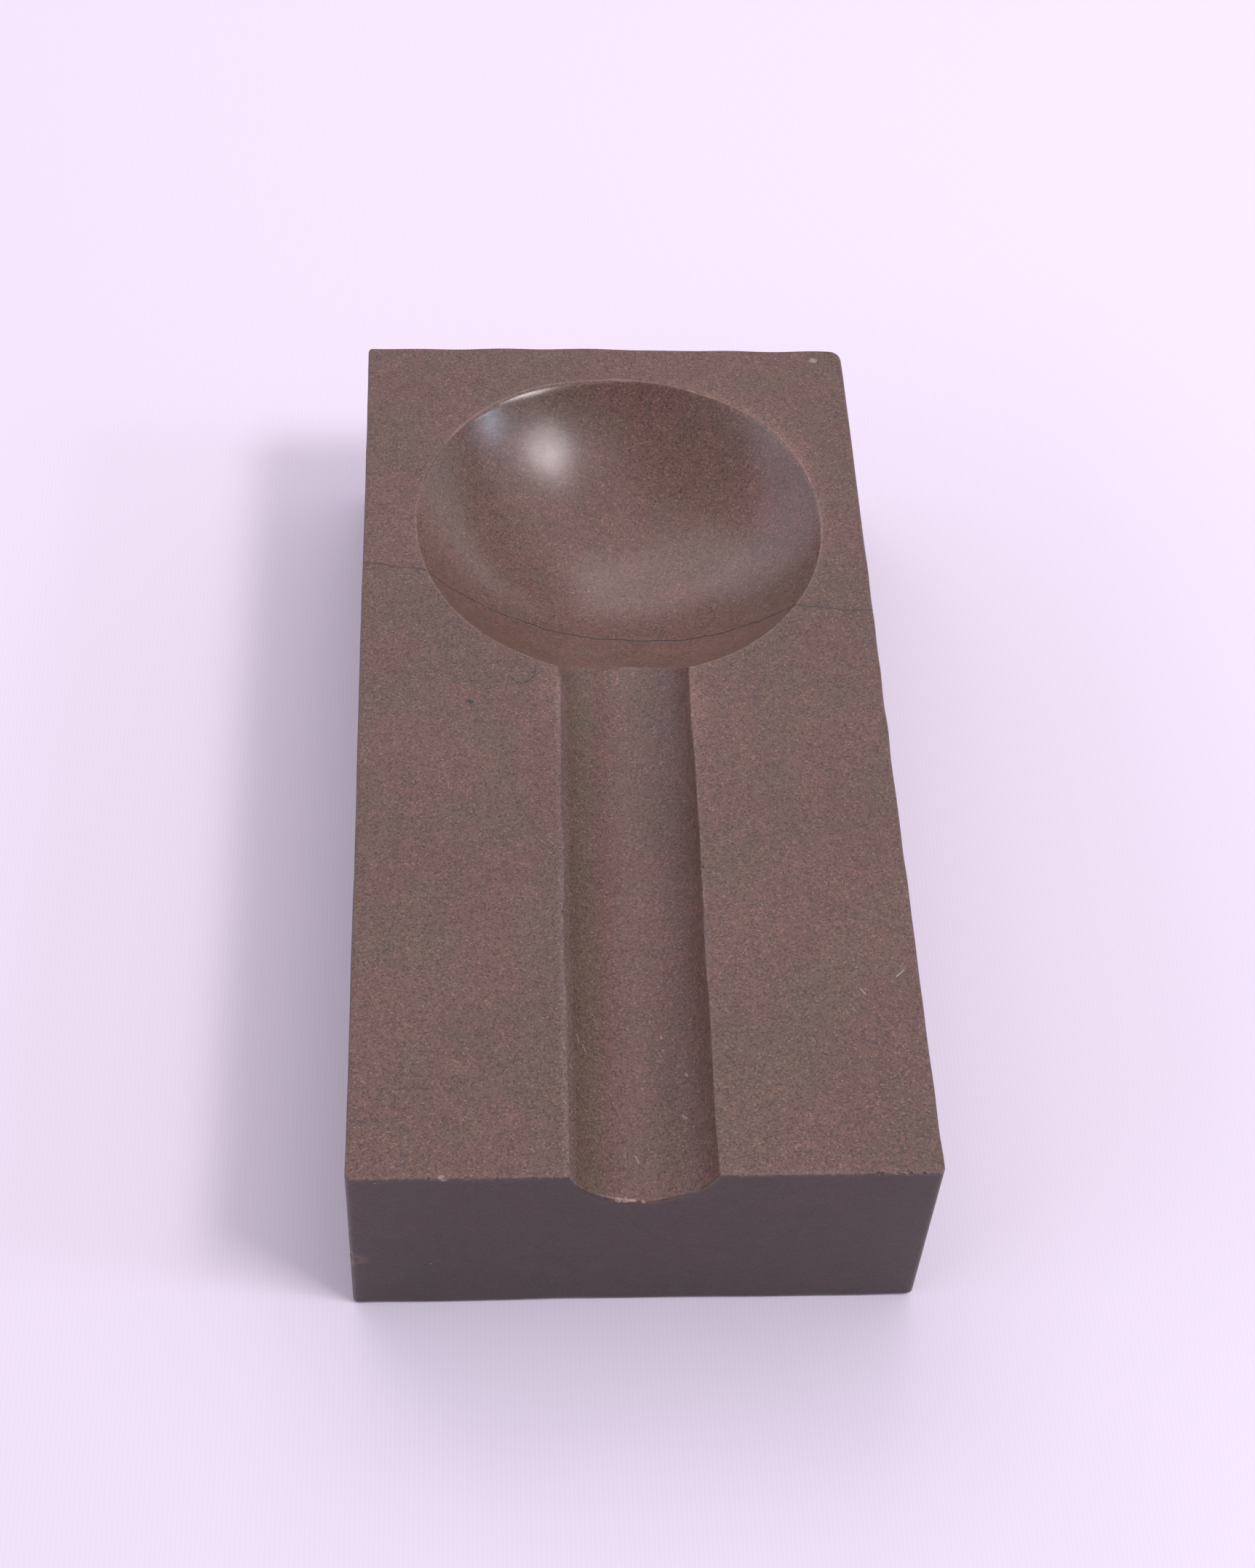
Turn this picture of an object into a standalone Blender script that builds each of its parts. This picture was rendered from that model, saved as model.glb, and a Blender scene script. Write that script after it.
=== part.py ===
"""A carved block of basalt: a long rounded-edge block with a round bowl near its back end
and a round-bottomed groove that runs from the bowl out through the front face.

Metres, +Z up. The origin is the middle of the underside, +Y points to the bowl's end and
the groove opens at -Y. Everything is symmetric about the plane x = 0.
"""

import math

import bmesh
import bpy
from mathutils import Matrix, Vector

# Driving dimensions
BLOCK_LENGTH = 0.160
BLOCK_WIDTH = 0.080
BLOCK_HEIGHT = 0.035
ARRIS_RADIUS = 0.0008  # the rounding of the block's own edges

BOWL_DIAMETER = 0.0646  # at the top face
BOWL_DEPTH = 0.015
BACK_WALL = 0.0071  # stone between the bowl's rim and the back face

GROOVE_WIDTH = 0.020  # at the top face
GROOVE_DEPTH = 0.007

LIP_RADIUS = 0.0006  # the rounding where a hollow meets the top face
LIP_SLOPE = math.radians(14.0)  # how steeply the rounding still falls where it meets the top face

# How finely round shapes are divided
ARRIS_SEGMENTS = 3
BOWL_STEPS = 96
BOWL_RINGS = 16
GROOVE_SEGMENTS = 24
LIP_SEGMENTS = 3

# Cutters reach this far past the faces that they cut through
CUTTER_REACH = 0.005

BOWL_CENTRE_Y = BLOCK_LENGTH / 2 - BACK_WALL - BOWL_DIAMETER / 2

BASALT_COLOUR = (0.150, 0.115, 0.098, 1.0)
BASALT_ROUGHNESS = 0.62


def clear_scene():
    for obj in list(bpy.data.objects):
        bpy.data.objects.remove(obj)


def new_collection(name):
    collection = bpy.data.collections.new(name)
    bpy.context.scene.collection.children.link(collection)
    return collection


def basalt_material():
    material = bpy.data.materials.new("basalt")
    material.use_nodes = True
    shader = material.node_tree.nodes["Principled BSDF"]
    shader.inputs["Base Color"].default_value = BASALT_COLOUR
    shader.inputs["Roughness"].default_value = BASALT_ROUGHNESS
    shader.inputs["Metallic"].default_value = 0.0
    return material


def arc(centre, radius, start, end, segments):
    """Points (r, z) on a circle round centre, from one angle to another, both ends included."""
    turns = [start + (end - start) * i / segments for i in range(segments + 1)]
    return [(centre[0] + radius * math.cos(a), centre[1] + radius * math.sin(a)) for a in turns]


def hollow_outline(half_width, depth, segments):
    """Half the section of a round hollow, from above the top face down to the middle of its floor.

    The floor is one circular arc. Its upper end turns over in a small lip, which crosses the
    top face at LIP_SLOPE and goes on a little above it.
    """
    radius = (half_width**2 + depth**2) / (2 * depth)
    centre_z = BLOCK_HEIGHT - depth + radius
    lip_z = BLOCK_HEIGHT - LIP_RADIUS
    lip_r = math.sqrt((radius + LIP_RADIUS) ** 2 - (centre_z - lip_z) ** 2)
    wall_angle = math.atan2(lip_z - centre_z, lip_r)
    top_angle = math.pi / 2 + LIP_SLOPE
    lip = arc((lip_r, lip_z), LIP_RADIUS, top_angle, wall_angle + math.pi, LIP_SEGMENTS)
    floor = arc((0.0, centre_z), radius, wall_angle, -math.pi / 2, segments)
    above_z = BLOCK_HEIGHT + CUTTER_REACH
    over_z = BLOCK_HEIGHT + LIP_RADIUS
    over_r = lip[0][0] + (over_z - lip[0][1]) / math.tan(LIP_SLOPE)
    return [(over_r, above_z), (over_r, over_z)] + lip + floor[1:]


def block(collection, material):
    mesh = bpy.data.meshes.new("stone_block")
    shape = bmesh.new()
    bmesh.ops.create_cube(shape, size=1.0)
    bmesh.ops.scale(shape, vec=Vector((BLOCK_WIDTH, BLOCK_LENGTH, BLOCK_HEIGHT)), verts=shape.verts)
    shape.to_mesh(mesh)
    shape.free()
    mesh.materials.append(material)
    obj = bpy.data.objects.new("stone_block", mesh)
    obj.location.z = BLOCK_HEIGHT / 2
    collection.objects.link(obj)
    rounding = obj.modifiers.new("rounded arrises", "BEVEL")
    rounding.width = ARRIS_RADIUS
    rounding.segments = ARRIS_SEGMENTS
    return obj


def as_cutter(obj, collection):
    collection.objects.link(obj)
    obj.hide_render = True
    obj.display_type = "WIRE"
    return obj


def bowl_cutter(collection):
    """The bowl's hollow: its section turned about the bowl's upright axis."""
    outline = hollow_outline(BOWL_DIAMETER / 2, BOWL_DEPTH, BOWL_RINGS)
    profile = [(0.0, BLOCK_HEIGHT + CUTTER_REACH)] + outline[:-1] + [(0.0, outline[-1][1])]
    mesh = bpy.data.meshes.new("bowl_cutter")
    mesh.from_pydata([(r, 0.0, z) for r, z in profile], [(i, i + 1) for i in range(len(profile) - 1)], [])
    obj = bpy.data.objects.new("bowl_cutter", mesh)
    obj.location.y = BOWL_CENTRE_Y
    turned = obj.modifiers.new("turned section", "SCREW")
    turned.axis = "Z"
    turned.steps = BOWL_STEPS
    turned.render_steps = BOWL_STEPS
    turned.use_merge_vertices = True
    turned.merge_threshold = 0.00001
    return as_cutter(obj, collection)


def groove_cutter(collection):
    """The groove's hollow: its section run from past the front face to the middle of the bowl."""
    half = hollow_outline(GROOVE_WIDTH / 2, GROOVE_DEPTH, GROOVE_SEGMENTS // 2)
    outline = half[:-1] + [(0.0, half[-1][1])] + [(-r, z) for r, z in reversed(half[:-1])]
    start = -BLOCK_LENGTH / 2 - CUTTER_REACH
    length = BOWL_CENTRE_Y - start
    curve = bpy.data.curves.new("groove_section", "CURVE")
    curve.dimensions = "2D"
    curve.fill_mode = "BOTH"
    curve.extrude = length / 2
    spline = curve.splines.new("POLY")
    spline.points.add(len(outline) - 1)
    for point, (x, z) in zip(spline.points, outline):
        point.co = (x, z, 0.0, 1.0)
    spline.use_cyclic_u = True
    section = bpy.data.objects.new("groove_section", curve)
    section.matrix_world = Matrix.Translation((0.0, start + length / 2, 0.0)) @ Matrix.Rotation(math.pi / 2, 4, "X")
    return as_cutter(solid_from_curve(section, "groove_cutter", collection), collection)


def solid_from_curve(section, name, collection):
    """The curve's shape as one closed mesh, in its place, with the curve itself removed."""
    collection.objects.link(section)
    bpy.context.view_layer.update()
    graph = bpy.context.evaluated_depsgraph_get()
    mesh = bpy.data.meshes.new_from_object(section.evaluated_get(graph))
    shape = bmesh.new()
    shape.from_mesh(mesh)
    bmesh.ops.remove_doubles(shape, verts=shape.verts, dist=0.00001)
    bmesh.ops.recalc_face_normals(shape, faces=shape.faces)
    shape.to_mesh(mesh)
    shape.free()
    obj = bpy.data.objects.new(name, mesh)
    obj.matrix_world = section.matrix_world
    curve = section.data
    bpy.data.objects.remove(section)
    bpy.data.curves.remove(curve)
    return obj


def cut(obj, cutter):
    carving = obj.modifiers.new(cutter.name, "BOOLEAN")
    carving.operation = "DIFFERENCE"
    carving.solver = "EXACT"
    carving.object = cutter


def main():
    clear_scene()
    parts = new_collection("carved_basalt_block")
    cutters = new_collection("cutters")
    stone = block(parts, basalt_material())
    cut(stone, bowl_cutter(cutters))
    cut(stone, groove_cutter(cutters))
    stone.data.shade_smooth()
    stone.data.set_sharp_from_angle(angle=math.radians(30.0))


main()
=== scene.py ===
"""The looks of the carved basalt block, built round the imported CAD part.

One dense closed mesh stands for the CAD block. It is laid out flat, face by face, with close
rows of points along every arris, and then settled onto a distance field of the stone: the
block, bowl and groove of the CAD part, with worn arrises, chips and a natural seam.
Lengths are in metres. +Z is up, +Y points to the bowl's end and the groove opens at -Y.
"""

import math

import bmesh
import bpy
import numpy as np
from mathutils import Matrix, Vector, kdtree
from mathutils.geometry import delaunay_2d_cdt


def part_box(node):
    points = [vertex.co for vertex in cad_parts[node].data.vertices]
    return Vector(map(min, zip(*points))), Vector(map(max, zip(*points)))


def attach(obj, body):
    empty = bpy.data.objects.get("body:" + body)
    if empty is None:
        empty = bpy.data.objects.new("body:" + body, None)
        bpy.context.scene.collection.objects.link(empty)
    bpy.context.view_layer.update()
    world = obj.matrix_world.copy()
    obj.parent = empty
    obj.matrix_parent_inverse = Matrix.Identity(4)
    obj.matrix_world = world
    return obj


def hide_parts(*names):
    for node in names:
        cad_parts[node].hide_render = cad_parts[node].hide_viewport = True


MM = 0.001
TAU = 2 * math.pi

# The camera, from the middle of the top face
CAMERA_LENS = 61.63  # mm, on a long side of 36 mm
CAMERA_SENSOR = 36.0
CAMERA_DISTANCE = 0.3971
CAMERA_AIM = (0.0, -0.0138)
CAMERA_AZIMUTH = math.radians(5.59)
CAMERA_DEPRESSION = math.radians(51.79)
CAMERA_ROLL = math.radians(4.23)

# How far each arris is rounded
TOP_ROUNDING = 0.70 * MM
FRONT_TOP_ROUNDING = 0.25 * MM
FRONT_TOP_REACH = (1 * MM, 7 * MM)  # behind the front, where its rounding gives way to the top's
BOTTOM_ROUNDING = 0.8 * MM
UPRIGHT_ROUNDINGS = {(-1, -1): 0.8 * MM, (1, -1): 0.8 * MM, (-1, 1): 0.7 * MM, (1, 1): 2.0 * MM}
RIM_ROUNDING = 0.25 * MM
LEFT_LIP_ROUNDING = 1.0 * MM
RIGHT_LIP_ROUNDING = 0.22 * MM

# The bowl is moved a little off the CAD bowl's place, and its rim strays from a circle, so that the
# rim lies as in the photo. Each swell is its size outwards, then its middle and spread in degrees
BOWL_OFFSET = (0.80 * MM, -0.65 * MM, -0.20 * MM)
RIM_SWELLS = [(1.15 * MM, 38, 24), (-0.6 * MM, 94, 14)]

# On one side of its rim the bowl's wall leans out, as if rounded off towards a higher top face
FLARE_ROUNDING = 3.8 * MM
FLARE_DROP = 0.45 * MM
FLARE_ANGLE = math.radians(113)  # round the bowl from +X
FLARE_SPREAD = math.radians(22)

# The top face droops a little towards the hollows, along part of the bowl's rim and along the end
# of each of the groove's arrises: the side, the middle of the worn stretch, and how far it runs
DROOP = 0.32 * MM
DROOP_REACH = 1.6 * MM
RIM_DROOP_ANGLE = math.radians(38)
RIM_DROOP_SPREAD = math.radians(34)
GROOVE_DROOPS = [(1, 4 * MM, 14 * MM), (-1, 7 * MM, 7 * MM)]

# The ripples in each surface, in its wear and in its chips: how large, how long, and their seed
FACE_RIPPLES = (0.03 * MM, 40 * MM, 1)
WEAR_RIPPLES = (0.25, 9 * MM, 2)
BOWL_RIPPLES = (0.05 * MM, 22 * MM, 3)
GROOVE_RIPPLES = (0.07 * MM, 16 * MM, 4)
CHIP_RIPPLES = (0.25, 0.9 * MM, 5)
LEAST_WEAR = 0.3

# The groove runs slightly out of square
GROOVE_SKEW = 0.010
GROOVE_PIVOT_Y = -0.039

# The seam is a natural crack, healed long ago. Each wave is its size, its phase's change in a metre
# along x and z, and its phase at the origin
SEAM_AHEAD_OF_BOWL = 14.55 * MM
SEAM_SLOPE = -0.1249
SEAM_WAVES = [
    (0.22 * MM, 310, 0, 0.8),
    (0.14 * MM, 890, 240, 2.1),
    (0.06 * MM, 2300, 500, 0.3),
]
SEAM_WIDTH = 0.22 * MM
SEAM_DEPTH = 0.05 * MM

# Nicks knocked out of the arrises: how many along each, and the least and greatest size
ARRIS_NICKS = 26
FRONT_NICKS = 70
NICK_SIZES = (0.12 * MM, 0.34 * MM)

ARRIS_WEAR = 0.30 * MM  # how far the lighter colour of a worn arris reaches

# How near a surface or a chip a point has to be to be marked as part of it
HOLLOW_REACH = 0.12 * MM
SIDE_REACH = 0.2 * MM
WORN_REACH = 0.3 * MM
CHIP_REACH = 0.12 * MM
SCAR_REACH = 0.10 * MM

# Mesh density: rows of points at these distances either side of an arris, and gaps between points
ROWS = [0.10 * MM, 0.22 * MM, 0.38 * MM, 0.62 * MM, 0.95 * MM, 1.4 * MM, 2.0 * MM]
SEAM_ROWS = [0.11 * MM, 0.22 * MM, 0.4 * MM]
ALONG_ARRIS = 0.42 * MM
ALONG_FRONT_ARRIS = 0.25 * MM
ALONG_BOTTOM = 0.9 * MM
TOP_GRID = 0.75 * MM
SIDE_GRID = 1.2 * MM
BOTTOM_GRID = 2.4 * MM
SEAM_ROWS_FROM = 1.5 * MM  # the height on the sides where the seam's own rows of points start
TOUCHING = 0.001 * MM  # places nearer than this count as the same
WELD = 0.0005 * MM

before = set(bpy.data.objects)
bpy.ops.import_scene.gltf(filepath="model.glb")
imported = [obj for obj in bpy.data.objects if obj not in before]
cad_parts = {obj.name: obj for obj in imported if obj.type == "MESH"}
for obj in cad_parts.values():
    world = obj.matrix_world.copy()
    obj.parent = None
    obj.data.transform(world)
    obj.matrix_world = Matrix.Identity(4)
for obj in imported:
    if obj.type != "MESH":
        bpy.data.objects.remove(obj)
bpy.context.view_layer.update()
LOW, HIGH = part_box("stone_block")
HALF_WIDTH = (HIGH.x - LOW.x) / 2
HALF_LENGTH = (HIGH.y - LOW.y) / 2
HEIGHT = HIGH.z - LOW.z


# ---------------------------------------------------------------- the CAD part's hollows


def round_through(points):
    """Centre and radius of the circle or sphere through the points, one row each."""
    table = np.column_stack([2 * points, np.ones(len(points))])
    found = np.linalg.lstsq(table, (points**2).sum(axis=1), rcond=None)[0]
    centre = found[:-1]
    return centre, math.sqrt(found[-1] + centre @ centre)


def measured_hollows():
    """The bowl's sphere and the groove's circle across x and z, read from the CAD block's points."""
    points = np.array([v.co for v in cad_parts["stone_block"].data.vertices])
    x, y, z = points.T
    clear = 2 * MM  # of the outer faces and their rounded arrises
    under_groove = HEIGHT - 8 * MM
    inside = (abs(x) < HALF_WIDTH - clear) & (abs(y) < HALF_LENGTH - clear)
    bowl = points[inside & (z > clear) & (z < under_groove)]
    on_front = (y < 0.01 * MM - HALF_LENGTH) & (abs(x) < HALF_WIDTH / 2)
    notch_low = 5 * MM
    under_lips = HEIGHT - 1 * MM
    notch = points[on_front & (z > notch_low) & (z < under_lips)]
    return round_through(bowl), round_through(notch[:, [0, 2]])


(BOWL, BOWL_RADIUS), (GROOVE, GROOVE_RADIUS) = measured_hollows()
BOWL = BOWL + np.array(BOWL_OFFSET)
RIM = math.sqrt(BOWL_RADIUS**2 - (BOWL[2] - HEIGHT) ** 2)
GROOVE_HALF = math.sqrt(GROOVE_RADIUS**2 - (GROOVE[1] - HEIGHT) ** 2)
BOWL_LEAN = (BOWL[2] - HEIGHT) / BOWL_RADIUS
GROOVE_LEAN = (GROOVE[1] - HEIGHT) / GROOVE_RADIUS


def turned_from(angle, middle):
    """How far an angle is from another, either way round."""
    return abs((angle - middle + math.pi) % TAU - math.pi)


def bell(angle, middle, spread):
    """1 at the middle angle, and dying away to either side of it."""
    return np.exp(-((turned_from(angle, middle) / spread) ** 2))


def flare_share(angle):
    """How much of the full flare the bowl's wall has at an angle round it."""
    return bell(angle, FLARE_ANGLE, FLARE_SPREAD)


def rim_swell(angle):
    """How far the bowl's rim strays out from its circle."""
    return sum(
        size * bell(angle, math.radians(middle), math.radians(spread))
        for size, middle, spread in RIM_SWELLS
    )


def rim_radius(angle):
    """Where the bowl's wall, with its flare and swells, meets the top face."""
    share = flare_share(angle)
    rounding = FLARE_ROUNDING * share
    middle = HEIGHT + FLARE_DROP * share - rounding
    out = np.sqrt((BOWL_RADIUS + rounding) ** 2 - (BOWL[2] - middle) ** 2)
    return out - np.sqrt(np.maximum(rounding**2 - (HEIGHT - middle) ** 2, 0)) + rim_swell(angle)


# ---------------------------------------------------------------- the stone as a distance field


def ripples(points, size, wavelength, seed, waves=14):
    """A smooth random value at each point, whose spread is about the size given."""
    draw = np.random.default_rng(seed)
    heading = draw.normal(size=(waves, 3))
    heading /= np.linalg.norm(heading, axis=1)[:, None]
    number = TAU / (wavelength * draw.uniform(0.7, 1.5, waves))
    phase = draw.uniform(0, TAU, waves)
    total = np.sin(points @ (heading * number[:, None]).T + phase).sum(axis=1)
    return size * (total * math.sqrt(2 / waves))


def rounded_max(a, b, radius, lean=0.0):
    """The larger of two distances, with the arris between their surfaces rounded off.

    lean is the cosine of the angle between the ways that the two surfaces face.
    """
    past_a = a + radius
    past_b = b + radius
    between = (past_a > lean * past_b) & (past_b > lean * past_a)
    square = past_a**2 + past_b**2 - 2 * lean * past_a * past_b
    turned = np.sqrt(square / (1 - lean**2)) - radius
    return np.where(between, turned, np.maximum(a, b))


def smooth_step(low, high, value):
    t = np.clip((value - low) / (high - low), 0, 1)
    return t * t * (3 - 2 * t)


def groove_middle(y):
    return GROOVE[0] + GROOVE_SKEW * (y - GROOVE_PIVOT_Y)


def droop(x, y):
    """How far the top face has sunk beside the hollows."""
    angle = np.arctan2(y - BOWL[1], x - BOWL[0])
    off = np.maximum(np.hypot(x - BOWL[0], y - BOWL[1]) - rim_radius(angle), 0)
    turned = turned_from(angle, RIM_DROOP_ANGLE) / RIM_DROOP_SPREAD
    share = np.exp(-(turned**2) - off / DROOP_REACH)
    for side, middle, run in GROOVE_DROOPS:
        off = np.maximum(side * (x - groove_middle(y)) - GROOVE_HALF, 0)
        near = np.exp(-(((y - middle) / run) ** 2) - off / DROOP_REACH)
        share = np.maximum(share, np.where(side * x > 0, near, 0))
    return DROOP * share


def bowl_distance(points, top):
    """Above zero in the bowl's hollow, flare and all."""
    away = points - BOWL
    angle = np.arctan2(away[:, 1], away[:, 0])
    out = np.hypot(away[:, 0], away[:, 1])
    swell = rim_swell(angle) * out**2 / (RIM * BOWL_RADIUS)
    uneven = ripples(points, *BOWL_RIPPLES) + swell
    wall = BOWL_RADIUS + uneven - np.linalg.norm(away, axis=1)
    share = flare_share(angle)
    flared = rounded_max(top - FLARE_DROP * share, wall, FLARE_ROUNDING * share, BOWL_LEAN)
    return np.where(flared > top - FLARE_DROP * share, flared, wall)


def groove_distance(points):
    """Above zero in the groove's hollow, which ends out of sight in the bowl's."""
    uneven = ripples(points, *GROOVE_RIPPLES)
    across = np.hypot(points[:, 0] - groove_middle(points[:, 1]), points[:, 2] - GROOVE[1])
    return np.minimum(GROOVE_RADIUS + uneven - across, BOWL[1] - points[:, 1])


def seam_y(x, z):
    """Where the seam lies: a nearly upright plane that wanders a little."""
    wander = sum(size * np.sin(kx * x + kz * z + phase) for size, kx, kz, phase in SEAM_WAVES)
    return BOWL[1] - SEAM_AHEAD_OF_BOWL + SEAM_SLOPE * x + wander


def seam_notch(points):
    """How deep the seam's open lip is cut, which is nothing near the underside."""
    off = abs(points[:, 1] - seam_y(points[:, 0], points[:, 2]))
    depth = SEAM_DEPTH * smooth_step(1 * MM, 4 * MM, points[:, 2])
    return depth * np.maximum(0, 1 - off / SEAM_WIDTH)


def arris_nicks():
    """Small bites out of the arrises, placed at random: centres and half-sizes."""
    draw = np.random.default_rng(11)
    w, n, h = HALF_WIDTH, HALF_LENGTH, HEIGHT
    runs = [((-w, -n, h), (w, -n, h), FRONT_NICKS)]
    for side in (-1, 1):
        lip = [side * GROOVE_HALF + groove_middle(end * n) for end in (-1, 0)]
        runs.append(((side * w, -n, h), (side * w, n, h), ARRIS_NICKS))
        runs.append(((side * w, -n, 0), (side * w, n, 0), ARRIS_NICKS))
        runs.append(((side * w, -n, 0), (side * w, -n, h), ARRIS_NICKS // 3))
        runs.append(((lip[0], -n, h), (lip[1], 0, h), ARRIS_NICKS // 2))
    runs.append(((-w, n, h), (w, n, h), ARRIS_NICKS // 2))
    runs.append(((-w, -n, 0), (w, -n, 0), ARRIS_NICKS // 2))
    nicks = []
    for start, end, count in runs:
        along = draw.uniform(0.01, 0.99, (count, 1))
        size = NICK_SIZES[0] * (NICK_SIZES[1] / NICK_SIZES[0]) ** draw.uniform(0, 1, (count, 1))
        size = size * draw.uniform(0.7, 1.3, (count, 3))
        nicks.append(np.hstack([np.array(start) * (1 - along) + np.array(end) * along, size]))
    return np.concatenate(nicks)


def chip_table():
    """Every chip: centre, then half-sizes."""
    w, n, h = HALF_WIDTH, HALF_LENGTH, HEIGHT
    floor = GROOVE[1] - GROOVE_RADIUS
    marked = [
        # Under the groove's mouth, then on the front arris towards its left end
        (-1.7 * MM, -n, floor + 0.30 * MM, 1.9 * MM, 0.45 * MM, 0.38 * MM),
        (-27.2 * MM, -n, h, 0.5 * MM, 0.4 * MM, 0.4 * MM),
        # By the back right corner, three on the front arris by its right end, and the front left arris
        (w - 4.9 * MM, n - 2.6 * MM, h + 0.25 * MM, 0.6 * MM, 0.55 * MM, 0.6 * MM),
        (w - 6.5 * MM, -n, h, 0.5 * MM, 0.5 * MM, 0.5 * MM),
        (w - 5.0 * MM, -n, h, 0.4 * MM, 0.45 * MM, 0.45 * MM),
        (w - 3.0 * MM, -n, h, 0.35 * MM, 0.4 * MM, 0.4 * MM),
        (-w, -n, 12.9 * MM, 0.5 * MM, 0.6 * MM, 1.6 * MM),
    ]
    return np.concatenate([np.array(marked), arris_nicks()])


CHIPS = chip_table()
SCARS = 2  # how many of them, from the first, show paler stone


def chip_distance(points, chips):
    """Above zero inside the nearest chip, and well below it away from them all."""
    value = np.full(len(points), -1 * MM)
    rough = ripples(points, *CHIP_RIPPLES)
    for chip in chips:
        centre, half = chip[:3], chip[3:]
        reach = 1.6 * half + 0.1 * MM
        near = np.nonzero((abs(points - centre) < reach).all(axis=1))[0]
        out = np.linalg.norm((points[near] - centre) / half, axis=1)
        value[near] = np.maximum(value[near], half.min() * (1 + rough[near] - out))
    return value


def upright_rounding(points):
    """The rounding of the nearest upright arris."""
    radius = np.zeros(len(points))
    for (side, end), value in UPRIGHT_ROUNDINGS.items():
        on_side = np.where(points[:, 0] < 0, -1, 1) == side
        at_end = np.where(points[:, 1] < 0, -1, 1) == end
        radius[on_side & at_end] = value
    return radius


def surfaces(points):
    """The distances past the sides, the ends, the underside, the top, the bowl and the groove."""
    x, y, z = points.T
    flatness = ripples(points, *FACE_RIPPLES)
    top = z - HEIGHT + flatness + droop(x, y)
    sides = abs(x) - HALF_WIDTH + flatness
    ends = abs(y) - HALF_LENGTH + flatness
    return sides, ends, -z, top, bowl_distance(points, top), groove_distance(points)


def stone_distance(points):
    """Signed distance to the stone, about true near its surface and below zero inside it."""
    sides, ends, bottom, top, bowl, groove = surfaces(points)
    wear = np.maximum(1 + ripples(points, *WEAR_RIPPLES), LEAST_WEAR)
    front = 1 - smooth_step(*FRONT_TOP_REACH, points[:, 1] + HALF_LENGTH)
    body = rounded_max(sides, ends, upright_rounding(points))
    body = rounded_max(body, bottom, BOTTOM_ROUNDING * wear)
    top_rounding = TOP_ROUNDING + (FRONT_TOP_ROUNDING - TOP_ROUNDING) * front
    body = rounded_max(body, top, wear * top_rounding)
    body = rounded_max(body, bowl, RIM_ROUNDING * wear, BOWL_LEAN)
    on_left = points[:, 0] < groove_middle(points[:, 1])
    lip = np.where(on_left, LEFT_LIP_ROUNDING, RIGHT_LIP_ROUNDING)
    body = rounded_max(body, groove, lip * wear, GROOVE_LEAN)
    return np.maximum(body + seam_notch(points), chip_distance(points, CHIPS))


def settled(points, rounds=12, probe=0.005 * MM, close=TOUCHING):
    """The points moved onto the stone's surface, each along the field's slope."""
    points = points.copy()
    loose = np.arange(len(points))
    for _ in range(rounds):
        value = stone_distance(points[loose])
        loose = loose[abs(value) > close]
        value = value[abs(value) > close]
        ahead = [stone_distance(points[loose] + probe * axis) for axis in np.eye(3)]
        slope = (np.column_stack(ahead) - value[:, None]) / probe
        move = value[:, None] * slope / np.maximum((slope**2).sum(axis=1), 0.25)[:, None]
        points[loose] -= np.clip(0.95 * move, -0.3 * MM, 0.3 * MM)
    return points


# ---------------------------------------------------------------- laying the mesh out flat


def stops(low, high, gap):
    """Places along an edge: close rows at both ends, and even gaps between."""
    even = np.linspace(low + ROWS[-1], high - ROWS[-1], round((high - low - 2 * ROWS[-1]) / gap) + 1)
    ends = np.array([0.0, *ROWS[:-1]])
    return np.concatenate([low + ends, even, (high - ends)[::-1]])


def honeycomb(half_u, half_v, gap):
    """Loose points on a triangular grid that fills a rectangle about the origin."""
    rows = []
    for i, v in enumerate(np.arange(-half_v + gap, half_v - gap / 2, gap * math.sqrt(3) / 2)):
        u = np.arange(-half_u + gap * (1 + i % 2 / 2), half_u - gap / 2, gap)
        rows.append(np.column_stack([u, np.full(len(u), v)]))
    return np.concatenate(rows)


def thinned(loose, fixed, share=0.75):
    """The loose points that keep clear of the fixed ones by a share of their own gap."""
    gap = share * abs(loose[1, 0] - loose[0, 0])
    tree = kdtree.KDTree(len(fixed))
    for i, point in enumerate(fixed):
        tree.insert((point[0], point[1], 0.0), i)
    tree.balance()
    return np.array([p for p in loose if tree.find((p[0], p[1], 0.0))[2] > gap])


def border_rows(u_low_side, u_high_side, v_low_side, v_high_side, half_u, half_v):
    """Rows of points along the four sides of a rectangle about the origin, and beside them.

    The first two lists are the places along the sides at -v and +v, the others along -u and +u.
    """
    rows = []
    for inset in [0.0, *ROWS]:
        for places, v in ((u_low_side, -half_v + inset), (u_high_side, half_v - inset)):
            kept = places[abs(places) <= half_u - inset + TOUCHING]
            rows.append(np.column_stack([kept, np.full(len(kept), v)]))
        for places, u in ((v_low_side, -half_u + inset), (v_high_side, half_u - inset)):
            kept = places[abs(places) <= half_v - inset + TOUCHING]
            rows.append(np.column_stack([np.full(len(kept), u), kept]))
    return np.concatenate(rows)


def without_twins(points, gap=0.05 * MM):
    """The points, with one kept of any that lie almost on each other."""
    tree = kdtree.KDTree(len(points))
    for i, point in enumerate(points):
        tree.insert((point[0], point[1], 0.0), i)
    tree.balance()
    twin = [min(i for _, i, _ in tree.find_range((p[0], p[1], 0.0), gap)) for p in points]
    return points[[i for i, first in enumerate(twin) if first == i]]


def triangulated(points):
    """Flat points and the triangles between them."""
    found = delaunay_2d_cdt([Vector(p) for p in points], [], [], 0, TOUCHING)
    return np.array([tuple(p) for p in found[0]]), np.array(found[2])


def on_both_sides(rows=ROWS):
    return [0.0] + [sign * row for row in rows for sign in (-1, 1)]


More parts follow.
